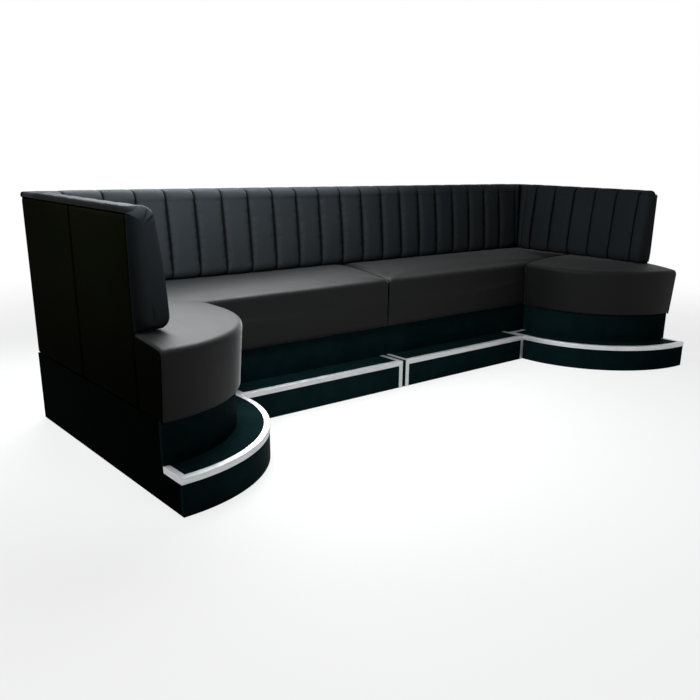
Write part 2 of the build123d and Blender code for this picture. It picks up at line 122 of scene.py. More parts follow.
class Finish(Nodes):
    """A material: the nodes that vary it, and the one shader that they feed."""

    def __init__(self, name, **constants):
        self.material = bpy.data.materials.new(name)
        self.material.use_nodes = True
        super().__init__(self.material.node_tree)
        self.shader = self.tree.nodes["Principled BSDF"]
        for socket, value in constants.items():
            self.shader.inputs[socket.replace("_", " ")].default_value = value
        self.place = self.node("ShaderNodeTexCoord", output="Object")

    def axis(self, name):
        return self.node("ShaderNodeSeparateXYZ", inputs={0: self.place}, output=name)

    def stretched(self, scale):
        return self.node("ShaderNodeMapping", inputs={"Vector": self.place, "Scale": scale})

    def cloud(self, scale, detail, roughness, place=None):
        inputs = {"Vector": place or self.place, "Scale": scale, "Detail": detail, "Roughness": roughness}
        return self.node("ShaderNodeTexNoise", inputs=inputs)

    def cells(self, scale, place=None, feature="F1", smooth=None):
        inputs = {"Vector": place or self.place, "Scale": scale}
        if smooth is not None:
            inputs["Smoothness"] = smooth
        return self.node("ShaderNodeTexVoronoi", {"feature": feature}, inputs, "Distance")

    def marked(self, name):
        """The value of an attribute that a mesh carries."""
        return self.node("ShaderNodeAttribute", {"attribute_name": name}, output="Fac")

    def blend(self, share, first, second):
        return self.node("ShaderNodeMix", {"data_type": "RGBA"}, {0: share, 6: first, 7: second}, 2)

    def feed(self, **links):
        for socket, value in links.items():
            self.tree.links.new(value.socket, self.shader.inputs[socket.replace("_", " ")])

    def paint_over(self, share, tone):
        """Lays a tone over the base colour that the shader has so far."""
        under = self.shader.inputs["Base Color"].links[0].from_socket
        self.feed(Base_Color=self.blend(share, under, tone))

    def relief(self, height, distance, strength, under=None):
        inputs = {"Height": height, "Distance": distance, "Strength": strength}
        if under is not None:
            inputs["Normal"] = under
        return self.node("ShaderNodeBump", inputs=inputs, output="Normal")

    def on(self, *names):
        """Gives this finish to whole CAD nodes, on both halves of the piece."""
        for name in names:
            for node in (name,) if name in nodes else (name + "_left", name + "_right"):
                materials = nodes[node].data.materials
                for i in range(len(materials)):
                    nodes[node].material_slots[i].material = self.material
                if not len(materials):
                    nodes[node].data.materials.append(self.material)


ply_pitch = 0.0028
plywood = Finish("birch_plywood", Roughness=0.62)
fibres = plywood.cloud(9.0, 6.0, 0.62, plywood.stretched((1.5, 14.0, 14.0)))
streaks = plywood.cloud(30.0, 3.0, 0.5, plywood.stretched((1.0, 20.0, 20.0)))
plies = ((plywood.axis("Z") + plywood.axis("Y") * 0.35) * (2 * math.pi / ply_pitch)).wave()
veneer = plywood.blend(fibres.share(0.35, 0.68), (0.62, 0.45, 0.27, 1), (0.42, 0.27, 0.14, 1))
veneer = plywood.blend(streaks.share(0.6, 0.75) * 0.5, veneer, (0.3, 0.17, 0.08, 1))
veneer = plywood.blend(plies.share(0.5, 1.0) * 0.12, veneer, (0.2, 0.11, 0.05, 1))
plywood.feed(
    Base_Color=veneer,
    Roughness=0.55 + fibres * 0.2,
    Normal=plywood.relief(fibres * 0.7 + streaks * 0.3, 0.0004, 0.5),
)
plywood.on("run_base_frame", "wing_base_frame")


# Glide pads
# Small squares of hard black plastic pinned under the boards, so that the modules slide
# and the plywood stays clear of a wet floor. They are scuffed grey where they rub.
plastic = Finish("glide_plastic", Roughness=0.45)
scuffs = plastic.cloud(260.0, 4.0, 0.7)
plastic.feed(
    Base_Color=plastic.blend(scuffs.share(0.45, 0.75), (0.012, 0.012, 0.013, 1), (0.055, 0.053, 0.05, 1)),
    Roughness=0.35 + scuffs * 0.4,
    Normal=plastic.relief(scuffs, 0.0003, 0.4),
)
plastic.on("glide_pads")


# Fascias, treads, toe kicks and base sides
# Boards faced with black laminate, cut square and bent round the wings. The laminate has a
# fine dry texture, a cool sheen and a thin bloom of shoe marks. On the outer sides it is a
# plainer and duller black, and darker too: the shade on those sides is painted into its colour.
pore_scale, pore_depth, smear_scale = 1400.0, 0.00008, 7.0

laminate = Finish("black_laminate", Roughness=0.4, IOR=1.02)
smears = laminate.cloud(smear_scale, 5.0, 0.65)
marks = laminate.cloud(38.0, 6.0, 0.75, laminate.stretched((1.0, 1.0, 2.5)))
cool_black = laminate.blend(
    smears.share(0.3, 0.7), (0.0022, 0.0078, 0.0086, 1), (0.0036, 0.0110, 0.0120, 1)
)
laminate.feed(
    Base_Color=laminate.blend(marks.share(0.62, 0.8) * 0.35, cool_black, (0.007, 0.012, 0.0125, 1)),
    Roughness=0.38 + smears * 0.12 + marks.share(0.55, 0.8) * 0.12,
    Normal=laminate.relief(laminate.cells(pore_scale), pore_depth, 0.35),
)
laminate.on("run_fascia", "wing_fascia", "run_tread", "wing_tread", "run_toe_kick", "wing_toe_kick")

# painted shade: a darker copy of the laminate for the outer sides, which stand in shade
side_laminate = Finish("side_laminate", Roughness=0.5, IOR=1.01)
smears = side_laminate.cloud(smear_scale, 5.0, 0.65)
side_laminate.feed(
    Base_Color=side_laminate.blend(
        smears.share(0.3, 0.7), (0.0007, 0.0009, 0.0009, 1), (0.0011, 0.0015, 0.0015, 1)
    ),
    Roughness=0.45 + smears * 0.12,
    Normal=side_laminate.relief(side_laminate.cells(pore_scale), pore_depth, 0.35),
)
side_laminate.on("run_base_side", "wing_base_side")


# Front trims and end trims
# Aluminium angles, 26.5 mm wide and 2 mm thick, glued and pinned over the edges and ends of
# the treads and down the corners of the step. They are drawn, so their edges are soft and
# fine lines run along them, and anodised silver. In the middle of the wall they are flat.
half_width, rear_y = cad_high.x, cad_high.y
half_turn = math.pi / 2


def placed(name, data):
    """A new object at the origin of the scene."""
    made = bpy.data.objects.new(name, data)
    bpy.context.scene.collection.objects.link(made)
    return made


class Tree(Nodes):
    """A Geometry Nodes tree: its named inputs, and the nodes that make a shape of them."""

    def __init__(self, name, **kinds):
        super().__init__(bpy.data.node_groups.new(name, "GeometryNodeTree"))
        for label, kind in kinds.items():
            self.tree.interface.new_socket(label, in_out="INPUT", socket_type="NodeSocket" + kind)
        self.tree.interface.new_socket("Made", in_out="OUTPUT", socket_type="NodeSocketGeometry")
        self.given = self.tree.nodes.new("NodeGroupInput").outputs

    def ends(self, shape):
        """Makes a shape real, gives it its material, and lets it out of the tree."""
        real = self.node("GeometryNodeRealizeInstances", inputs={0: shape})
        coated = self.node("GeometryNodeSetMaterial", inputs={0: real, "Material": self.given["Finish"]})
        self.tree.links.new(coated.socket, self.tree.nodes.new("NodeGroupOutput").inputs[0])

    def make(self, name, carrier, **values):
        """Runs the tree on a mesh, and keeps what it makes as a plain piece."""
        piece = placed(name, carrier)
        run = piece.modifiers.new("run", "NODES")
        run.node_group = self.tree
        for socket in self.tree.interface.items_tree:
            if socket.in_out == "INPUT" and socket.name in values:
                run[socket.identifier] = values[socket.name]
        made = piece.evaluated_get(bpy.context.evaluated_depsgraph_get())
        mesh = bpy.data.meshes.new_from_object(made)
        piece.modifiers.remove(run)
        piece.data = mesh
        mesh.shade_smooth()
        mesh.set_sharp_from_angle(angle=math.radians(40))
        return piece


def place(hand, side, reach, height):
    """A point in metres: in from the outer side, out from the wall, and up."""
    return (hand * (half_width - side), rear_y - reach, height)


def path_mesh(name, paths):
    """Lines to sweep along. Each point has a direction that the section's X follows."""
    points = [point for path, _ in paths for point in path]
    asides = [aside for _, aside in paths for aside in aside]
    edges, first = [], 0
    for path, _ in paths:
        edges += [(first + i, first + i + 1) for i in range(len(path) - 1)]
        first += len(path)
    mesh = bpy.data.meshes.new(name)
    mesh.from_pydata(points, edges, [])
    aside = mesh.attributes.new("aside", "FLOAT_VECTOR", "POINT")
    aside.data.foreach_set("vector", np.array(asides, np.float32).ravel())
    return mesh


def section_object(name, outline):
    """The outline of a trim, as a loose object that a tree can read."""
    mesh = bpy.data.meshes.new(name)
    edges = [(i, (i + 1) % len(outline)) for i in range(len(outline))]
    mesh.from_pydata([(x, y, 0) for x, y in outline], edges, [])
    return placed(name, mesh)


def angled(points, sideways, other=(0.0, 0.0, 1.0)):
    """A path for a trim, in the order that turns its second leg to face `other`."""
    ahead = np.subtract(points[1], points[0])
    if np.dot(np.cross(ahead, sideways[0]), other) > 0:
        return list(points), list(sideways)
    return points[::-1], sideways[::-1]


def fit(piece, replaced):
    """Hides the CAD node that a piece shows in its place, and fixes the piece to the root body."""
    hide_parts(replaced)
    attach(piece, "root")


aluminium = Finish("anodised_aluminium", Metallic=1.0, Roughness=0.5)
drawn = aluminium.cloud(240.0, 3.0, 0.6, aluminium.stretched((0.06, 0.06, 1.0)))
handled = aluminium.cloud(9.0, 4.0, 0.6)
silver = aluminium.blend(drawn.share(0.3, 0.7), (0.46, 0.475, 0.485, 1), (0.60, 0.61, 0.62, 1))
aluminium.feed(
    Base_Color=aluminium.blend(handled.share(0.5, 0.8) * 0.3, silver, (0.38, 0.39, 0.40, 1)),
    Roughness=0.48 + drawn * 0.12 + handled * 0.1,
    Normal=aluminium.relief(drawn, 0.00012, 0.4),
)

sweep = Tree("angle_trim", Path="Geometry", Section="Object", Finish="Material")
line = sweep.node("GeometryNodeMeshToCurve", inputs={0: sweep.given["Path"]})
aside = sweep.node("GeometryNodeInputNamedAttribute", {"data_type": "FLOAT_VECTOR"}, {"Name": "aside"})
line = sweep.node("GeometryNodeSetCurveNormal", {"mode": "FREE"}, {0: line, "Normal": aside})
ring = sweep.node("GeometryNodeObjectInfo", inputs={0: sweep.given["Section"]}, output="Geometry")
ring = sweep.node("GeometryNodeMeshToCurve", inputs={0: ring})
sweep.ends(sweep.node("GeometryNodeCurveToMesh", inputs={0: line, 1: ring, "Fill Caps": True}))

trim_leg, trim_thickness, trim_round = 0.0265, 0.002, 0.0025
rounding = [
    (-trim_round * (1 - math.cos(t)), -trim_round * (1 - math.sin(t)))
    for t in np.linspace(0, half_turn, 5)
]
angle_section = section_object("angle_section", [
    (0, -trim_leg), *rounding, (-trim_leg, 0), (-trim_leg, -trim_thickness),
    (-trim_thickness, -trim_thickness), (-trim_thickness, -trim_leg),
])
strip_edge, strip_bevel = 0.001 - trim_leg, 0.0006
strip_section = section_object("strip_section", [
    (strip_edge, -trim_thickness), (0, -trim_thickness), (0, -strip_bevel), (-strip_bevel, 0),
    (strip_edge + strip_bevel, 0), (strip_edge, -strip_bevel),
])


def trim(name, section, *paths):
    """A trim of one section, swept along one path or more."""
    return sweep.make(name, path_mesh("path", paths), Section=section, Finish=aluminium.material)


# the step's edge and top, the centre of a wing's arc, and the joint of run and wing
step_out, step_top, wing_centre, joint_line = 0.710, 0.160, 0.746, 0.5805
# where the treads end beside a wing and in the middle, and the toe kicks that they meet
joint_end, centre_end, kick_line, kick_radius, kick_end = 0.711, 1.793, 0.540, 0.565, 1.311
post_foot, post_head = 0.003, 0.1332
play, strip_inset = 0.0003, 0.0105

for hand, half in ((-1, "left"), (1, "right")):
    forward, outside, inside = (0, -1, 0), (hand, 0, 0), (-hand, 0, 0)
    middle, edge, low = centre_end - strip_inset, step_out - play, step_top - play
    front = [place(hand, side, step_out, step_top) for side in (joint_end + play, middle)]
    piece = trim("run_front_angle_" + half, angle_section, angled(front, [forward] * 2))
    fit(piece, "run_front_trim_" + half)

    bend, sideways = [place(hand, step_out, joint_line + play, step_top)], [inside]
    for turn in np.linspace(0, half_turn - 0.0005, 49):
        side, reach = step_out * math.cos(turn), wing_centre + step_out * math.sin(turn)
        bend.append(place(hand, side, reach, step_top))
        sideways.append((-hand * math.cos(turn), -math.sin(turn), 0))
    piece = trim("wing_front_angle_" + half, angle_section, angled(bend, sideways))
    fit(piece, "wing_front_trim_" + half)

    run_end_edge = [place(hand, joint_end, reach, low) for reach in (kick_line, edge)]
    run_post = [place(hand, joint_end, step_out, height) for height in (post_foot, post_head)]
    wing_end_edge = [place(hand, side, joint_line, low) for side in (kick_radius, edge)]
    open_edge = [place(hand, 0.0, reach, low) for reach in (kick_end, wing_centre + edge)]
    piece = trim(
        "end_angles_" + half, angle_section,
        angled(run_end_edge, [outside] * 2), angled(run_post, [forward] * 2, outside),
        angled(wing_end_edge, [(0, 1, 0)] * 2), angled(open_edge, [outside] * 2),
    )
    fit(piece, "end_trims_" + half)

    # in the middle, flat strips that stand a little in from the ends of the boards
    strip = [place(hand, middle, reach, low) for reach in (kick_line, step_out - 0.001)]
    strip_post = [place(hand, middle, step_out, height) for height in (post_foot, post_head)]
    piece = trim(
        "middle_strips_" + half, strip_section,
        angled(strip, [inside] * 2), angled(strip_post, [inside] * 2, forward),
    )
    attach(piece, "root")
bpy.data.objects.remove(angle_section)
bpy.data.objects.remove(strip_section)


# Seat frames and decks
# Plywood carcasses that stand behind the toe kicks, with lightening holes through their
# ribs, and the plywood boards on top of them that the foam is glued to.
plywood.on("run_seat_frame", "wing_seat_frame", "run_seat_deck", "wing_seat_deck")


# Seat foam
# Blocks of grey high-density foam glued to the decks. The cut faces are open-celled, and
# the front edges are sawn off round, so that the leather bends over them. The blocks of the
# wings have a rounded plan, and a notch round the foot of the back.
deck_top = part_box("run_seat_deck_left")[1].z
foam_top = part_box("run_seat_foam_left")[1].z
foam_bottom = deck_top + 0.0005
foam_round = 0.022


def spans(name):
    """Where a CAD node starts and ends: out from the wall, in from its side, and upwards."""
    low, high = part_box(name)
    sides = sorted((half_width - abs(low.x), half_width - abs(high.x)))
    return (rear_y - high.y, rear_y - low.y), sides, (low.z, high.z)


def blanket(name, rows, finish, solid=False):
    """A mesh over rows of points, open or round a solid. Its faces are turned outwards."""
    rows = np.asarray(rows, float)
    count, across = rows.shape[:2]
    faces = []
    for i in range(count - 1):
        for j in range(across if solid else across - 1):
            k = (j + 1) % across
            faces.append((i * across + j, (i + 1) * across + j, (i + 1) * across + k, i * across + k))
    if solid:
        faces.append(tuple(range(across)))
        faces.append(tuple((count - 1) * across + j for j in range(across)))
    mesh = bpy.data.meshes.new(name)
    mesh.from_pydata([tuple(p) for p in rows.reshape(-1, 3)], [], faces)
    turned = bmesh.new()
    turned.from_mesh(mesh)
    bmesh.ops.recalc_face_normals(turned, faces=turned.faces)
    if not solid and sum(f.normal.z * f.calc_area() for f in turned.faces) < 0:
        bmesh.ops.reverse_faces(turned, faces=turned.faces)
    turned.to_mesh(mesh)
    turned.free()
    mesh.materials.append(finish.material)
    mesh.shade_smooth()
    return placed(name, mesh)


foam = Finish("grey_foam", Roughness=0.95)
bubbles = foam.cells(620.0)
foam.feed(
    Base_Color=foam.blend(bubbles.share(0.1, 0.7), (0.09, 0.09, 0.1, 1), (0.34, 0.34, 0.35, 1)),
    Normal=foam.relief(bubbles, 0.0012, 0.9),
)


def foam_block(module, half, rows):
    """A block of foam on the deck of a module, from the rows of points round it."""
    piece = blanket(f"{module}_foam_block_{half}", rows, foam, solid=True)
    piece.data.set_sharp_from_angle(angle=math.radians(50))
    fit(piece, f"{module}_seat_foam_{half}")


# the outer face of a wing's back, and the notch that every seat has round the back's foot
side_face, notch_side, notch_reach = 0.002, 0.0556, 1.1306
wing_foam_joint, wing_foam_gap, wing_foam_last = 0.5945, 0.014, math.radians(3.2)


def wing_ray(turn, along, radius, cut):
    """Plan of a wing along one ray: the foot where it leaves the notch, and its rim."""
    if turn is None:
        return (notch_side + cut, along), (radius, along)
    sideways, outwards = math.sin(turn), math.cos(turn)
    start = (notch_side + cut - side_face) / max(sideways, 1e-6)
    if start * outwards > notch_reach + cut - wing_centre:
        start = (notch_reach + cut - wing_centre) / max(outwards, 1e-6)
    rim = radius - side_face * sideways
    return (
        (side_face + start * sideways, wing_centre + start * outwards),
        (side_face + rim * sideways, wing_centre + rim * outwards),
    )


def wing_rays(first, steps, turns, radius, cut=0.0, last=0.0):
    """Rays across a wing, from its joint with the run round to its outer side."""
    rays = [wing_ray(None, along, radius, cut) for along in np.linspace(first, wing_centre, steps)]
    corner = math.atan2(notch_side - side_face, notch_reach - wing_centre)
    fan = list(np.linspace(half_turn, last, turns)[1:])
    nearest = min(range(len(fan)), key=lambda i: abs(fan[i] - corner))
    fan[nearest] = corner
    return rays + [wing_ray(turn, None, radius, cut) for turn in fan]


for hand, half in ((-1, "left"), (1, "right")):
    (rear, front), ends, _ = spans("run_seat_foam_" + half)
    flat = front - foam_round
    section = [(rear, foam_bottom), (rear, foam_top)]
    section += [(rear + (flat - rear) * t, foam_top) for t in (0.25, 0.5, 0.75)]
    for turn in np.linspace(0, half_turn, 6):
        section.append((flat + foam_round * math.sin(turn), foam_top - foam_round * (1 - math.cos(turn))))
    section.append((front, foam_bottom))
    foam_block("run", half, [
        [place(hand, side, reach, height) for reach, height in section] for side in np.linspace(*ends, 12)
    ])

for hand, half in ((-1, "left"), (1, "right")):
    rows = []
    radius = kick_radius - 0.001
    for foot, rim in wing_rays(wing_foam_joint, 6, 26, radius, wing_foam_gap, wing_foam_last):
        foot, rim = np.array(foot), np.array(rim)
        length = np.linalg.norm(rim - foot)
        row = [(*foot, foam_bottom)]
        row += [(*(foot + (rim - foot) * t), foam_top) for t in (0, 0.3, 0.6)]
        for turn in np.linspace(0, half_turn, 5):
            inset = foam_round * (1 - math.sin(turn)) / length
            row.append((*(rim + (foot - rim) * inset), foam_top - foam_round * (1 - math.cos(turn))))
        row.append((*rim, foam_bottom))
        rows.append([place(hand, *point) for point in row])
    foam_block("wing", half, rows)


# Seat covers of the run
# Soft black leather, backed with wadding, pulled over the foam and stapled under the front
# board. The top is crowned, its front edge is a soft roll, and the front leans in a little
# to the toe kick. At the centre the two covers press together and round into each other.


def leather_finish(name, tone, light_tone, gloss, bend, sheen):
    """Black leather: fine pebbled grain, stretch lines, and a sheen that shows every dent."""
    leather = Finish(name, Roughness=gloss, IOR=bend, Sheen_Weight=sheen, Sheen_Roughness=0.25)
    pebbles = leather.cells(760.0, feature="SMOOTH_F1", smooth=0.4)
    fine = leather.cloud(1500.0, 3.0, 0.6)
    drape = leather.cloud(13.0, 4.0, 0.55)
    patches = leather.cloud(3.0, 4.0, 0.6)
    stretch = leather.cloud(60.0, 5.0, 0.6, leather.stretched((1.0, 1.0, 0.35)))
    colour = leather.blend(patches.share(0.3, 0.7), (*tone, 1), (*light_tone, 1))
    colour = leather.blend(pebbles.share(0.0, 0.45) * 0.25, (*[c * 0.45 for c in tone], 1), colour)
    grain = leather.relief(pebbles * -0.7 + fine * 0.3, 0.00035, 0.45)
    leather.feed(
        Base_Color=colour,
        Roughness=gloss - 0.09 + patches * 0.06 + fine * 0.06 + drape * 0.06,
        Normal=leather.relief(stretch, 0.0016, 0.25, grain),
    )
    return leather


def plump(piece, held, most, slack):
    """Fills a sewn cover: the leather swells between the points that hold it."""
    frames, stiffness = 18, 12.0
    group = piece.vertex_groups.new(name="held")
    for index, weight in enumerate(held):
        if weight > 0:
            group.add([index], float(weight), "REPLACE")
    cloth = piece.modifiers.new("fill", "CLOTH")
    leather = cloth.settings
    leather.quality = 4
    leather.mass = 0.35
    leather.tension_stiffness = leather.compression_stiffness = stiffness
    leather.shear_stiffness = stiffness / 2
    leather.bending_stiffness = 0.6
    leather.use_pressure = True
    leather.uniform_pressure_force = 2.2
    leather.shrink_min = -slack
    leather.vertex_group_mass = group.name
    leather.effector_weights.gravity = 0
    cloth.point_cache.frame_start, cloth.point_cache.frame_end = 1, frames
    before = np.array([v.co for v in piece.data.vertices])
    for step in range(1, frames + 1):
        bpy.context.scene.frame_set(step)
    swollen = piece.evaluated_get(bpy.context.evaluated_depsgraph_get())
    moved = np.array([v.co for v in swollen.data.vertices]) - before
    length = np.linalg.norm(moved, axis=1, keepdims=True)
    moved *= np.minimum(1.0, most / np.maximum(length, 1e-9))
    piece.modifiers.remove(cloth)
    piece.vertex_groups.remove(group)
    piece.data.vertices.foreach_set("co", (before + moved).astype(np.float32).ravel())
    piece.data.update()
    bpy.context.scene.frame_set(1)


def soften(piece, wadding=0.0):
    """Backs a cover with wadding, if it has any, and rounds it by one subdivision."""
    if wadding:
        thickness = piece.modifiers.new("wadding", "SOLIDIFY")
        thickness.thickness = wadding
        thickness.offset = -1
    smooth = piece.modifiers.new("soften", "SUBSURF")
    smooth.levels = smooth.render_levels = 1


def eased(share):
    """A share held between 0 and 1, with a soft start and end."""
    share = np.clip(share, 0, 1)
    return share * share * (3 - 2 * share)


def turned_in(radius, turn):
    """How far a quarter round stands in from each of its two faces, at one of its angles."""
    return radius * (1 - math.sin(turn)), radius * (1 - math.cos(turn))


seat_leather = leather_finish(
    "seat_leather", (0.0056, 0.0056, 0.0057), (0.0085, 0.0085, 0.0087), 0.6, 1.22, 0.3
)
seat_crown, crown_line, leather_bottom = 0.642, 0.190, 0.335
edge_round, end_round, hem_round, cover_thickness = 0.026, 0.021, 0.007, 0.013
cover_swell, cover_slack = 0.006, 0.004
tuck, dip, dip_width, top_steps = 0.004, 0.003, 0.008, 34
# how far the pads cover the seats, from the wall, the outer side and a wing's open end
covered, covered_open, covered_fade = 0.17, 1.18, 0.04
# how much a seat's top wavers, and how near the inside corner it turns level
seat_waver, level_side, level_height, level_fade = 0.0022, 0.32, 0.45, 0.16


def crowned(reach, curve):
    """Height of a seat's crowned top at a distance from the back."""
    return seat_crown - (reach - crown_line) ** 2 / (2 * curve)


def seat_section(rear, front_top, front_bottom, curve):
    """Section of a seat cover: from its rear edge over the top, and down the front."""
    rise = crowned(rear, curve) - 2 * tuck - deck_top
    points = [(rear, deck_top + tuck + rise * t) for t in (0, 0.35, 0.7)]
    rim = front_top - edge_round
    for reach in np.linspace(rear, rim, top_steps):
        points.append((reach, crowned(reach, curve) - dip * math.exp(-(reach - rear) / dip_width)))
    slope = math.atan2(rim - crown_line, curve)
    top = points[-1][1]
    for turn in np.linspace(slope, half_turn, 7)[1:]:
        out = rim + edge_round * (math.sin(turn) - math.sin(slope))
        points.append((out, top - edge_round * (math.cos(slope) - math.cos(turn))))
    start, shoulder = points[-1]
    for t in np.linspace(0, 1, 18)[1:]:
        height = shoulder + (leather_bottom + hem_round - shoulder) * t
        points.append((start + (front_bottom - start) * t, height))
    for turn in (0.5, 1.0, 1.5):
        reach = front_bottom - hem_round * (1 - math.cos(turn))
        points.append((reach, leather_bottom + hem_round * (1 - math.sin(turn))))
    return np.array(points)


def drawn_in(section, depth):
    """A section pulled in along its own normals, as leather is at the end of a cover."""
    ahead = np.gradient(section, axis=0)
    ahead /= np.maximum(np.linalg.norm(ahead, axis=1, keepdims=True), 1e-9)
    inward = np.stack([ahead[:, 1], -ahead[:, 0]], axis=1)
    inward[-5:] = inward[-6]
    return section + inward * depth


run_end, run_curve = 1.7949, 2.18
run_section = seat_section(notch_side, 0.579, 0.566, run_curve)
hems = [(0.0, end_round + 0.012), (0.0, end_round + 0.03)]
for hand, half in ((-1, "left"), (1, "right")):
    stations = [(side, 0.0) for side in np.linspace(notch_side, run_end - end_round, 100)]
    closing = [turned_in(end_round, turn) for turn in np.linspace(0, half_turn, 6)[1:]]
    stations += [(run_end - inset, depth) for inset, depth in closing + hems]
    rows, held = [], []
    for side, depth in stations:
        section = drawn_in(run_section, depth)
        row = []
        for i, (reach, height) in enumerate(section):
            sway = noise.noise(Vector((side * 2.2 * hand, reach * 4.0, hand * 7.0))) * seat_waver
            # in the inside corner the seat is flat, as the two tops meet there
            level = eased((level_side - side) / level_fade)
            level = min(level * max(0.0, (height - level_height) / level_fade), 1.0)
            sway += level * (seat_crown - crowned(reach, run_curve)) * 0.9
            row.append(place(hand, side, reach, height + sway))
            by_wall, by_side = (covered - reach) / covered_fade, (covered - side) / covered_fade
            under = 1 if i < 5 else max(0.0, min(1.0, by_wall, by_side + 1))
            under = max(under, min(1.0, by_side) if height > 0.6 else 0)
            fixed = i >= len(section) - 4 or depth > end_round
            held.append(1.0 if fixed else max(under, 0.25 if depth > 0 else 0.0))
        rows.append(row)
    piece = blanket("run_seat_cushion_" + half, rows, seat_leather)
    plump(piece, held, cover_swell, cover_slack)
    soften(piece, cover_thickness)
    fit(piece, "run_seat_cover_" + half)


# Seat covers of the wings
# The same leather, cut with a rounded front and sewn to a flat outer side. The cover is
# notched round the foot of the back, and stands proud of it at the open end.
wing_joint, wing_curve, wing_front, wing_foot = 0.5815, 2.8, 0.606, 0.586
open_lip, corner_round, side_rows = 0.0035, 0.014, 12
wing_profile = seat_section(0.0, wing_front, wing_foot, wing_curve)[3 + top_steps:]

side_leather = leather_finish(
    "side_leather", (0.0088, 0.0098, 0.0046), (0.0128, 0.0142, 0.0070), 0.6, 1.01, 0.0
)
# painted shade: the side leather is painted darker towards the floor, where less light reaches it
painted_low_shade = 1 - (side_leather.axis("Z") + side_leather.cloud(2.5, 3.0, 0.5) * 0.3).share(0.42, 0.95)
side_leather.paint_over(painted_low_shade * 0.8, (0.0012, 0.0014, 0.0008, 1))
# painted shade: near black in the valleys where the side panels round in to meet
side_leather.paint_over(side_leather.marked("seam") * 0.9, (0.0006, 0.0006, 0.0005, 1))


def wing_row(foot, outer, depth):
    """One row of points across a wing's cover, from the notch to the bottom of its front."""
    foot, outer = np.array(foot), np.array(outer)
    along = (outer - foot) / np.linalg.norm(outer - foot)
    base = outer - along * wing_front
    start = float(np.dot(foot - base, along))
    lip = open_lip if foot[1] > notch_reach - 0.002 else -0.002
    row = [(*foot, deck_top + tuck + (seat_crown - 0.01 - deck_top) * t) for t in (0, 0.5)]
    for reach in np.linspace(start, wing_front - edge_round, 32):
        height = seat_crown if reach < crown_line else crowned(reach, wing_curve)
        height += lip * math.exp(-(reach - start) / dip_width) - depth
        row.append((*(base + along * reach), height))
    for reach, height in wing_profile:
        row.append((*(base + along * (reach - depth)), height - (depth if height > 0.55 else 0)))
    return row


for hand, half in ((-1, "left"), (1, "right")):
    rays = wing_rays(wing_joint, 14, 62, wing_front)
    (foot_side, foot_reach), (rim_side, rim_reach) = rays[0]
    opening = [turned_in(end_round, turn) for turn in np.linspace(half_turn, 0, 6)[:-1]]
    rows, held = [], []
    for inset, depth in hems[::-1] + opening:
        rows.append(wing_row((foot_side, foot_reach + inset), (rim_side, rim_reach + inset), depth))
        held += [1.0 if depth >= end_round else 0.3] * len(rows[-1])
    for foot, outer in rays[2:]:
        rows.append(wing_row(foot, outer, 0.0))
        count = len(rows[-1])
        for i, (side, reach, height) in enumerate(rows[-1]):
            under = min(1.0, (covered - side) / covered_fade, (covered_open - reach) / covered_fade)
            held.append(1.0 if i < 4 or i >= count - 4 else max(0.0, under))

    # the outer side: the last row turns the corner, and fills down to the board
    contour = np.array(rows[-1])[:, 1:]
    heights = np.linspace(contour[0, 1], leather_bottom, count // 2)
    closing = [(notch_reach, height) for height in heights]
    for t in np.arange(1, count - len(heights) + 1) / (count - len(heights)):
        closing.append((notch_reach + (contour[-1, 0] - notch_reach) * t, leather_bottom))
    toward = np.array(closing) - contour
    distance = np.maximum(np.linalg.norm(toward, axis=1, keepdims=True), 1e-9)
    corner = toward * np.minimum(corner_round / distance, 1.0)
    rows[-1] = [(side_face + corner_round, *point) for point in contour]
    for turn in np.linspace(0, half_turn, 4)[1:]:
        out, down = turned_in(corner_round, turn)
        ring = contour + corner * (down / corner_round)
        rows.append([(side_face + out, *point) for point in ring])
        held += [0.6] * count
    tucks = {0.96: 0.0003, 0.985: 0.002, 1.0: 0.007}
    for t in (0.08, 0.2, 0.35, 0.5, 0.65, 0.8, 0.9, *tucks):
        ring = contour + corner + (closing - contour - corner) * t
        rows.append([(side_face + tucks.get(t, 0.0), *point) for point in ring])
        held += [1.0 if t == 1.0 or i < 4 or i >= count - 4 else 0.0 for i in range(count)]
    swayed = []
    for row in rows:
        swayed.append([])
        for side, reach, height in row:
            sway = noise.noise(Vector((side * 3.0, reach * 3.0, hand * 5.0))) * seat_waver
            swayed[-1].append(place(hand, side, reach, height + (sway if height > 0.6 else 0)))
    piece = blanket("wing_seat_cushion_" + half, swayed, seat_leather)
    piece.data.materials.append(side_leather.material)
    for face in piece.data.polygons:
        face.material_index = int(min(face.vertices) >= (len(rows) - side_rows) * count)
    plump(piece, held, cover_swell, cover_slack)
    soften(piece, cover_thickness)
    fit(piece, "wing_seat_cover_" + half)


# Back frames
# Posts and rails of planed pine, glued and stapled, that stand on the treads. The pads are
# fixed to them from behind, and only the rear panels and side panels cover them.
pine = Finish("planed_pine", Roughness=0.6)
rings = pine.cloud(5.0, 3.0, 0.5, pine.stretched((9.0, 9.0, 0.7)))
grain = (rings * 26.0).wave().share(-0.4, 1.0)
fuzz = pine.cloud(420.0, 2.0, 0.5, pine.stretched((1.0, 1.0, 0.08)))
knots = pine.cells(5.0, pine.stretched((1.0, 1.0, 0.5)))
timber_tone = pine.blend(grain, (0.6, 0.4, 0.2, 1), (0.42, 0.24, 0.1, 1))
pine.feed(
    Base_Color=pine.blend(1 - knots.share(0.02, 0.07), timber_tone, (0.14, 0.06, 0.025, 1)),
    Roughness=0.5 + fuzz * 0.25,
    Normal=pine.relief(fuzz * 0.6 + grain * 0.4, 0.0004, 0.5),
)
pine.on("run_back_frame", "wing_back_frame")


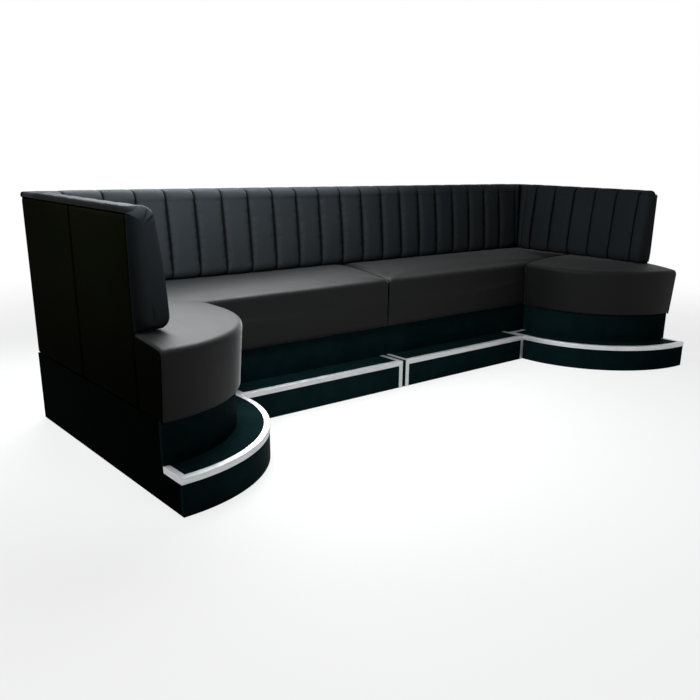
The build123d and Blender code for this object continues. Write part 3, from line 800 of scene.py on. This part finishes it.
# Rear panels
# Thin hardboard behind the run, covered with a plain black upholsterer's cloth that is
# stapled round its edges. The cloth is a tight dull weave.
weave_pitch = 0.0012
lining = Finish("rear_lining", Roughness=0.9)
warp = (lining.axis("X") * (2 * math.pi / weave_pitch)).wave()
weft = (lining.axis("Z") * (2 * math.pi / weave_pitch)).wave()
slubs = lining.cloud(90.0, 4.0, 0.6, lining.stretched((1.0, 1.0, 0.15)))
lining.feed(
    Base_Color=lining.blend(slubs.share(0.3, 0.7), (0.009, 0.009, 0.01, 1), (0.018, 0.018, 0.02, 1)),
    Normal=lining.relief(warp * weft * 0.5 + slubs * 0.5, 0.0003, 0.5),
)
lining.on("run_rear_panel")


# Side panels
# Boards on the outer sides, covered with black leather that is pulled round their edges
# and stapled behind. Each module has its own, so that a seam stands where they meet.
panel_round, panel_margin, panel_dent = 0.014, 0.03, 0.0008


def mark_painted_shade(piece, marks):
    """Writes on a piece how much painted shade it carries, for its material to read."""
    mark = piece.data.attributes.new("seam", "FLOAT", "POINT")
    mark.data.foreach_set("value", np.asarray(marks, np.float32).ravel())


def keep_edges(piece, degrees):
    """Keeps the edges sharper than an angle crisp, when the rest is softened."""
    mesh = piece.data
    bent = bmesh.new()
    bent.from_mesh(mesh)
    sharp = [e.is_manifold and e.calc_face_angle(0) > math.radians(degrees) for e in bent.edges]
    bent.free()
    mark = mesh.attributes.new("crease_edge", "FLOAT", "EDGE")
    mark.data.foreach_set("value", np.array(sharp, np.float32))
    mesh.set_sharp_from_angle(angle=math.radians(degrees))


for hand, half in ((-1, "left"), (1, "right")):
    for module in ("run", "wing"):
        name = f"{module}_side_panel_{half}"
        (first, last), (outer, inner), (bottom, top) = spans(name)
        near = [turned_in(panel_round, turn) for turn in np.linspace(half_turn, 0, 6)]
        stations = [(first + inset, draw) for inset, draw in near]
        stations += [(along, 0.0) for along in np.linspace(first + 0.04, last - 0.04, 16)]
        stations += [(last - inset, draw) for inset, draw in reversed(near)]
        rows = []
        for along, draw in stations:
            face = outer + draw * 0.9
            turns = [turned_in(panel_round, turn) for turn in np.linspace(0, half_turn, 5)]
            ring = [(inner, bottom + draw)]
            ring += [(face + out, bottom + draw + up) for out, up in turns]
            for height in np.linspace(bottom + panel_margin, top - panel_margin, 24):
                dent = noise.noise(Vector((along * 3.0 + hand, height * 2.2, 3.0))) * panel_dent
                ring.append((face - dent, height))
            ring += [(face + out, top - draw - down) for down, out in turns]
            ring.append((inner, top - draw))
            ring += [(inner, height) for height in np.linspace(top, bottom, 6)[1:-1]]
            rows.append([place(hand, side, along, height) for side, height in ring])
        piece = blanket(f"{module}_side_leather_{half}", rows, side_leather, solid=True)
        # painted shade in the valley at each end of a panel, where it rounds in to meet the next
        dark = [min(1.0, (draw / panel_round) ** 0.35 * 1.6) for _, draw in stations]
        mark_painted_shade(piece, np.repeat(dark, len(rows[0])))
        keep_edges(piece, 50)
        soften(piece)
        fit(piece, name)


# Back pads
# Leather sewn into upright channels over foam. The pads roll over the top rail, lean back
# to the shoulder and tuck under at the heel, and each seam draws the leather in. The pads
# of the run and of its two sides meet in a mitre at the inside corners.
back_leather = leather_finish(
    "back_leather", (0.034, 0.0395, 0.043), (0.046, 0.0525, 0.057), 0.48, 1.045, 0.0
)
# painted shade: near black in the seam grooves, in the folds at the mitres and on the pads' outer faces
back_leather.paint_over(back_leather.marked("seam") * 0.94, (0.0015, 0.0017, 0.002, 1))

back_bottom, lap_height, overall_height = 0.642, 1.075, 1.100
lap_round, lap_gap = 0.012, 0.0002
roll_centre, roll_radius, roll_front = (0.060, 1.0468), 0.0532, (0.113, 1.042)
heel_centre, heel_radius, heel_rear = (0.1027, 0.6875), 0.0455, 0.104
lean_out, lean_belly, lean_drop = 0.035, 0.02, 0.350
groove_depth, channel_bulge, seam_shade_width = 0.016, 0.002, 0.0062
run_pitch, wing_pitch, corner_seam = 0.1606, 0.164, 0.166
panel_front, open_round, pad_end = 1.1304, 1.1045, 1.162
pad_swell, pad_slack, mitre_gap = 0.004, 0.012, 0.0002
# how much the leather of the pads wavers and puckers, and how far from a seam it does so
pad_waver, pucker_width, waver_width = 0.0016, 0.014, 0.02
pleat_depth, pleat_count, pleat_centre = 0.0024, 13, (0.045, 1.03)
seam_lines = []


def bow(centre, radius, first, last, count):
    """Points along an arc, between two angles in degrees."""
    turns = np.radians(np.linspace(first, last, count))
    return [(centre[0] + radius * math.cos(t), centre[1] + radius * math.sin(t)) for t in turns]


def pad_outline(outer, lapped=True):
    """Section of a pad with no channels, and how far a seam can draw in each of its points."""
    points, pull = [], []

    def add(some, *weights):
        points.extend(some)
        pull.extend(np.interp(np.linspace(0, 1, len(some)), np.linspace(0, 1, len(weights)), weights))

    lap = lap_height + lap_gap
    add([(outer, lap), (outer, lap_height + 0.007)], 0.05, 0.08)
    add(bow((outer + lap_round, overall_height - lap_round), lap_round, 180, 90, 4), 0.1, 0.15)
    tops = np.linspace(outer + lap_round, roll_centre[0], 6)[1:-1]
    add([(x, overall_height) for x in tops], 0.15, 0.3)
    add(bow(roll_centre, roll_radius, 90, -5.2, 15), 0.35, 0.9, 1.0)
    for t in np.linspace(0, 1, 34)[1:-1]:
        forward = roll_front[0] + lean_out * t + lean_belly * t * (1 - t)
        add([(forward, roll_front[1] - lean_drop * t)], 1.0)
    add(bow(heel_centre, heel_radius, 5.7, -88.4, 12), 1.0, 1.0, 0.5)
    inner = notch_side - play if lapped else outer
    add([(heel_rear + (inner - heel_rear) * t, back_bottom) for t in (0.33, 0.66, 1.0)], 0.3, 0.0)
    add([(inner, back_bottom + (lap_height - back_bottom) * t) for t in (0.25, 0.5, 0.75)], 0.0)
    add([(inner, lap), ((inner + outer) / 2, lap)], 0.0)
    return np.array(points), np.array(pull)


def outward(points):
    """Normals of a closed section, pointing out of it."""
    ahead = np.roll(points, -1, axis=0) - np.roll(points, 1, axis=0)
    ahead /= np.maximum(np.linalg.norm(ahead, axis=1, keepdims=True), 1e-9)
    normals = np.stack([-ahead[:, 1], ahead[:, 0]], axis=1)
    area = np.sum(points[:, 0] * np.roll(points[:, 1], -1) - np.roll(points[:, 0], -1) * points[:, 1])
    return normals if area < 0 else -normals


def painted_outer_shade(points, outer, width=0.02):
    """How much painted shade darkens a pad: all on its outer face, then none."""
    return 0.8 * eased((outer + 0.002 + width - np.asarray(points)[:, 0]) / width)


def cornered(points, along):
    """A section near the open end, where the top of the lap rounds down to the side panel."""
    near = np.clip((along - open_round) / (panel_front - open_round), 0, 1)
    drop = np.maximum(points[:, 1] - lap_height - 0.0015, 0) * (1 - math.sqrt(1 - near * near))
    lowered = points.copy()
    lowered[:, 1] -= drop * eased((0.066 - points[:, 0]) / 0.046)
    return lowered


def sunk(share):
    """How far the leather is drawn in, from a seam (0) to the middle of its channel (1)."""
    return groove_depth - (groove_depth + channel_bulge) * (1 - (1 - share) ** 2.8) ** (1 / 2.8)


def channel_places(seams):
    """Stations along a row of channels, closer together towards each seam."""
    offsets = np.array([0, 0.0012, 0.003, 0.006, 0.0105, 0.017, 0.027, 0.041, 0.059])
    places = []
    for start, end in zip(seams, seams[1:]):
        half_channel = (end - start) / 2
        near = offsets * min(1.0, half_channel / 0.072)
        places += list(start + near) + [start + half_channel] + list(end - near[::-1])[:-1]
    return places + [seams[-1]]


def channel_draw(along, seams):
    """How far the leather is drawn in at a place along the channels, and the next seam."""
    nearest = min(abs(along - seam) for seam in seams)
    widths = [b - a for a, b in zip(seams, seams[1:]) if a - 1e-9 <= along <= b + 1e-9]
    return sunk(min(1.0, nearest / (widths[0] / 2))), nearest


def pad_rows(seams, outer, put, seed):
    """Rows of points round a pad: where they are, how much painted shade they carry, and whether they are
    held.
    """
    outline, pull = pad_outline(outer)
    normals = outward(outline)
    rows, marks, held = [], [], []
    for along in channel_places(seams):
        draw, nearest = channel_draw(along, seams)
        by_seam, by_groove = math.exp(-nearest / pucker_width), math.exp(-nearest / waver_width)
        row, mark, hold, thread = [], [], [], []
        for (reach, height), (across, upward), weight in zip(outline, normals, pull):
            waver = noise.noise(Vector((seed, round(along / 0.05), height * 9.0))) * pad_waver
            pucker = by_seam * noise.noise(Vector((seed + 3, height * 46.0, along * 9.0))) * pad_waver
            soft = noise.noise(Vector((seed + along * 7.0, height * 5.0, 1.5))) * pad_waver
            depth = draw * weight - (pucker + soft) * weight
            shift = waver * weight * by_groove
            row.append(put(along + shift, reach - across * depth, height - upward * depth))
            # painted shade, darkest at the bottom of each seam groove
            mark.append(math.exp(-(nearest / seam_shade_width) ** 2) * min(1.0, weight * 1.5))
            hold.append(1.0 if weight < 0.3 or nearest < 0.0007 else 0.0)
            if nearest < 1e-6 and weight > 0.95:
                depth -= thread_lift
                thread.append(put(along + shift, reach - across * depth, height - upward * depth))
        if thread:
            seam_lines.append(thread)
        rows.append(row)
        # each point takes the stronger of the seam's painted shade and the outer face's painted shade
        marks += list(np.maximum(mark, painted_outer_shade(outline, outer)))
        held += hold
    return rows, marks, held


def mitre_rows(outer, put):
    """Rows of a pad between the mitre in the corner and its first seam, folded under."""
    outline, pull = pad_outline(outer)
    normals = outward(outline)
    rows, marks, held = [], [], []
    for t in (1.0, 0.75, 0.5, 0.3, 0.12, 0.04):
        fold = groove_depth * (1 - 0.45 * math.sin(math.pi * t))
        row = []
        for deep, tall in outline - normals * (fold * pull)[:, None]:
            row.append(put(corner_seam + (deep + mitre_gap - corner_seam) * t, deep, tall))
        rows.append(row)
        # painted shade: dark at the mitre and again by the first seam, where the folded leather lies in the
        # corner's shade
        marks += [max(0.0, 1 - t * 12, t * 3 - 2)] * len(row)
        held += [1.0] * len(row)
    return rows, marks, held


def finish_pad(name, replaced, *parts):
    """Makes a pad from the rows of its parts, fills it, and fixes it to the frame."""
    rows, marks, held = ([item for part in parts for item in part[i]] for i in range(3))
    piece = blanket(name, rows, back_leather, solid=True)
    plump(piece, held, pad_swell, pad_slack)
    mark_painted_shade(piece, marks)
    keep_edges(piece, 70)
    soften(piece)
    fit(piece, replaced)


thread_pitch, thread_length, thread_width, thread_lift = 0.0052, 0.0036, 0.0009, 0.0022
thread_finish = Finish("black_thread", Roughness=0.7, IOR=1.2)
twist = (thread_finish.axis("Z") * (2 * math.pi / 0.0012)).wave()
thread_finish.feed(
    Base_Color=thread_finish.blend(twist.share(-1.0, 1.0), (0.006, 0.006, 0.006, 1), (0.02, 0.02, 0.021, 1)),
)

stitches = Tree(
    "stitches", Path="Geometry", Pitch="Float", Length="Float", Thickness="Float", Finish="Material"
)
given = stitches.given
line = stitches.node("GeometryNodeMeshToCurve", inputs={0: given["Path"]})
line = stitches.node(
    "GeometryNodeResampleCurve", {"mode": "LENGTH"}, {"Curve": line, "Length": given["Pitch"]}
)
spread = stitches.node("GeometryNodeCurveToPoints", {"mode": "EVALUATED"}, {"Curve": line}).socket.node
tilt = stitches.node(
    "FunctionNodeRandomValue", {"data_type": "FLOAT_VECTOR"},
    {0: (-0.1, -0.1, -0.1), 1: (0.1, 0.1, 0.1), "Seed": 7},
)
tilt = stitches.node("FunctionNodeEulerToRotation", inputs={0: tilt})
turned = stitches.node("FunctionNodeRotateRotation", inputs={0: spread.outputs["Rotation"], 1: tilt})
size = stitches.node(
    "ShaderNodeCombineXYZ", inputs={0: given["Thickness"], 1: given["Thickness"], 2: given["Length"]}
)
stitch = stitches.node("GeometryNodeMeshIcoSphere", inputs={"Radius": 0.5, "Subdivisions": 1})
stitches.ends(stitches.node("GeometryNodeInstanceOnPoints", inputs={
    "Points": spread.outputs["Points"], "Instance": stitch, "Rotation": turned, "Scale": size,
}))

for hand, half in ((-1, "left"), (1, "right")):

    def along_wall(along, across, height, hand=hand):
        return place(hand, along, across, height)

    def along_side(along, across, height, hand=hand):
        return place(hand, across, along, height)

    # the run: from the centre of the wall to the mitre in the corner
    rear_seams = [corner_seam] + [run_end - run_pitch * i for i in range(9, -1, -1)]
    rear_seams[-1] += 0.00005
    finish_pad(
        "run_channelled_back_" + half, "run_back_pad_" + half,
        mitre_rows(0.0, along_wall), pad_rows(rear_seams, 0.0, along_wall, 2.0 * hand),
    )

    # the side of the run: from the mitre to the joint with the wing
    side_seams = [corner_seam] + [joint_line - 0.001 - wing_pitch * i for i in range(2, -1, -1)]
    side_seams[-1] -= 0.0002
    finish_pad(
        "side_channelled_back_" + half, "run_side_pad_" + half,
        mitre_rows(side_face, along_side), pad_rows(side_seams, side_face, along_side, 5.0 + hand),
    )

    # the wing: from the joint to a full round roll at the open end
    wing_seams = [joint_line + 0.0002] + [joint_line + wing_pitch * i for i in range(1, 4)]
    channels = pad_rows(wing_seams, side_face, along_side, 9.0 + hand)
    outline, pull = pad_outline(side_face)
    normals = outward(outline)
    firm = [1.0 if weight < 0.3 else 0.0 for weight in pull]
    rows, marks, held = [], [], []
    for nearest in (
        0.0012, 0.003, 0.006, 0.0105, 0.017, 0.026, 0.0335, 0.0405, 0.0465, 0.0515, 0.0555,
    ):
        along = wing_seams[-1] + nearest
        draw = sunk(min(1.0, nearest / 0.06))
        shape = cornered(outline - normals * (draw * pull)[:, None], along)
        rows.append([along_side(along, side, height) for side, height in shape])
        # painted shade at the last seam
        seam = math.exp(-(nearest / seam_shade_width) ** 2) * np.minimum(1.0, pull * 1.5)
        marks += list(np.maximum(seam, painted_outer_shade(outline, side_face, 0.02 + max(0, along - 1.1))))
        held += firm

    # the lap ends at the side panel's front edge, and the pad's own section takes over
    full, _ = pad_outline(side_face, lapped=False)
    shape = cornered(outline + normals * (channel_bulge * pull)[:, None], panel_front)
    swell = cornered(full + outward(full) * (channel_bulge * pull)[:, None], panel_front)
    for ring, along in ((shape, panel_front - play), (swell, panel_front)):
        behind = (ring[:, 0] < notch_side + 0.001) & (ring[:, 1] < back_bottom + 0.01)
        ring[behind, 1] -= 0.009
        rows.append([along_side(along, side, height) for side, height in ring])
        # painted shade on the outer face, over a wider band
        marks += list(painted_outer_shade(ring, side_face, 0.05))
        held += firm

    # the roll: the section shrinks to a line inside it, with pleats at its shoulder
    swell[:, 1] = np.maximum(swell[:, 1], back_bottom)
    spine = np.stack([
        np.interp(full[:, 1], (0.645, overall_height), (0.058, 0.052)),
        np.clip(full[:, 1], back_bottom + 0.028, overall_height - 0.055),
    ], axis=1)
    for turn in np.radians([3, 14, 28, 42, 55, 66, 75, 82]):
        shape = spine + (swell - spine) * math.cos(turn) ** (2 / 2.2)
        along = panel_front + (pad_end - panel_front) * math.sin(turn) ** (2 / 2.2)
        row = []
        for side, height in shape:
            pleat = 0.0
            if height > 1.0:
                shoulder = math.atan2(height - pleat_centre[1], side - pleat_centre[0])
                pleat = pleat_depth * math.sin(pleat_count * shoulder + hand) * math.sin(turn * 2)
                pleat *= math.exp(-((shoulder - 0.8) / 0.5) ** 2)
            row.append(along_side(along + pleat, side + pleat, height))
        rows.append(row)
        # painted shade on the outer side of the roll
        marks += list(painted_outer_shade(shape, side_face, 0.055) * 0.9)
        held += [0.0] * len(shape)
    finish_pad(
        "wing_channelled_back_" + half, "wing_back_pad_" + half, channels, (rows, marks, held)
    )

    # black thread at the bottom of every seam
    asides = [[(0.0, 0.0, 1.0)] * len(thread) for thread in seam_lines]
    stitching = stitches.make(
        "channel_stitches_" + half, path_mesh("seams", list(zip(seam_lines, asides))),
        Pitch=thread_pitch, Length=thread_length, Thickness=thread_width, Finish=thread_finish.material,
    )
    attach(stitching, "root")
    seam_lines.clear()


# Module bolts
# Zinc-plated steel bolts with their nuts, through the frames of two neighbouring modules,
# that draw the four modules together. The plating is dull, with a yellow cast.
zinc = Finish("zinc_plated_steel", Metallic=1.0, Roughness=0.4)
spangle = zinc.cloud(500.0, 3.0, 0.6)
zinc.feed(
    Base_Color=zinc.blend(spangle.share(0.35, 0.65), (0.5, 0.5, 0.48, 1), (0.68, 0.67, 0.62, 1)),
    Roughness=0.3 + spangle * 0.25,
    Normal=zinc.relief(spangle, 0.0001, 0.4),
)
zinc.on("module_bolts")


# Floor, light and camera
# A plain white floor and a white surround, one large soft lamp above and behind the seat, a
# weaker one in front on the left, and the camera at the left front corner, a little above
# the back.
floor_reach, floor_drop = 14.0, 0.0005
square = [(x * floor_reach, y * floor_reach, -floor_drop) for x, y in ((-1, -1), (1, -1), (1, 1), (-1, 1))]
floor_mesh = bpy.data.meshes.new("floor")
floor_mesh.from_pydata(square, [], [(0, 1, 2, 3)])
floor = placed("floor", floor_mesh)


def seen_over(network, plain, bright, share, end):
    """Ends a tree in a plain shader that light meets, and a bright one that an eye sees."""
    rays = ("Is Camera Ray", "Is Glossy Ray", "Is Transmission Ray")
    seen = sum(network.node("ShaderNodeLightPath", output=ray) for ray in rays)
    mixed = network.node("ShaderNodeMixShader", inputs={0: seen * share, 1: plain, 2: bright})
    network.tree.links.new(mixed.socket, network.tree.nodes[end].inputs["Surface"])


paper = Finish("floor_paper", Base_Color=(0.75, 0.75, 0.75, 1), Roughness=0.9)
paper.feed(Roughness=0.8 + paper.cloud(600.0, 3.0, 0.6) * 0.15)
far = paper.node("ShaderNodeVectorMath", {"operation": "LENGTH"}, {0: paper.place}, "Value")
glow = paper.node("ShaderNodeEmission")
seen_over(paper, paper.shader.outputs[0], glow, 0.8 + far.share(2.6, 5.5) * 0.2, "Material Output")
floor_mesh.materials.append(paper.material)

world = bpy.data.worlds.new("surround")
bpy.context.scene.world = world
world.use_nodes = True
surround = Nodes(world.node_tree)
dim = surround.tree.nodes["Background"]
dim.inputs["Color"].default_value = (0.93, 0.95, 1.0, 1)
dim.inputs["Strength"].default_value = 0.12
white = surround.node("ShaderNodeBackground", inputs={"Color": (1, 1, 1, 1)})
seen_over(surround, dim.outputs[0], white, 1.0, "World Output")


def lamp(name, spot, aim, size, power, spread, colour):
    """A soft rectangular lamp at a spot, turned to face another."""
    light = bpy.data.lights.new(name, "AREA")
    light.shape = "RECTANGLE"
    light.size, light.size_y = size
    light.energy = power
    light.spread = math.radians(spread)
    light.color = colour
    holder = placed(name, light)
    holder.location = spot
    holder.rotation_euler = (Vector(aim) - Vector(spot)).to_track_quat("-Z", "Y").to_euler()


lamp(
    "window", spot=(-0.6, 1.1, 2.1), aim=(-1.2, 0.2, 0.64), size=(2.2, 1.0),
    power=80, spread=120, colour=(0.97, 0.99, 1.0),
)
lamp(
    "front", spot=(-1.75, -0.5, 2.0), aim=(-0.5, 0.65, 0.85), size=(1.0, 0.8),
    power=45, spread=148, colour=(0.93, 0.97, 1.0),
)

lens = bpy.data.cameras.new("camera")
lens.lens, lens.sensor_width = 39.96, 36.0
lens.shift_x, lens.shift_y = -0.0378, 0.0629
lens.clip_start, lens.clip_end = 0.05, 60
camera = placed("camera", lens)
camera_spot = (-2.9782, -3.1298, 1.2939)
camera_right = Vector((0.75464, -0.65586, 0.01894))
camera_up = Vector((0.18018, 0.23491, 0.95517))
camera_ahead = Vector((0.63091, 0.71740, -0.29545))
facing = Matrix((camera_right, camera_up, -camera_ahead)).transposed().to_4x4()
camera.matrix_world = Matrix.Translation(camera_spot) @ facing
bpy.context.scene.camera = camera
bpy.context.scene.view_settings.view_transform = "Standard"
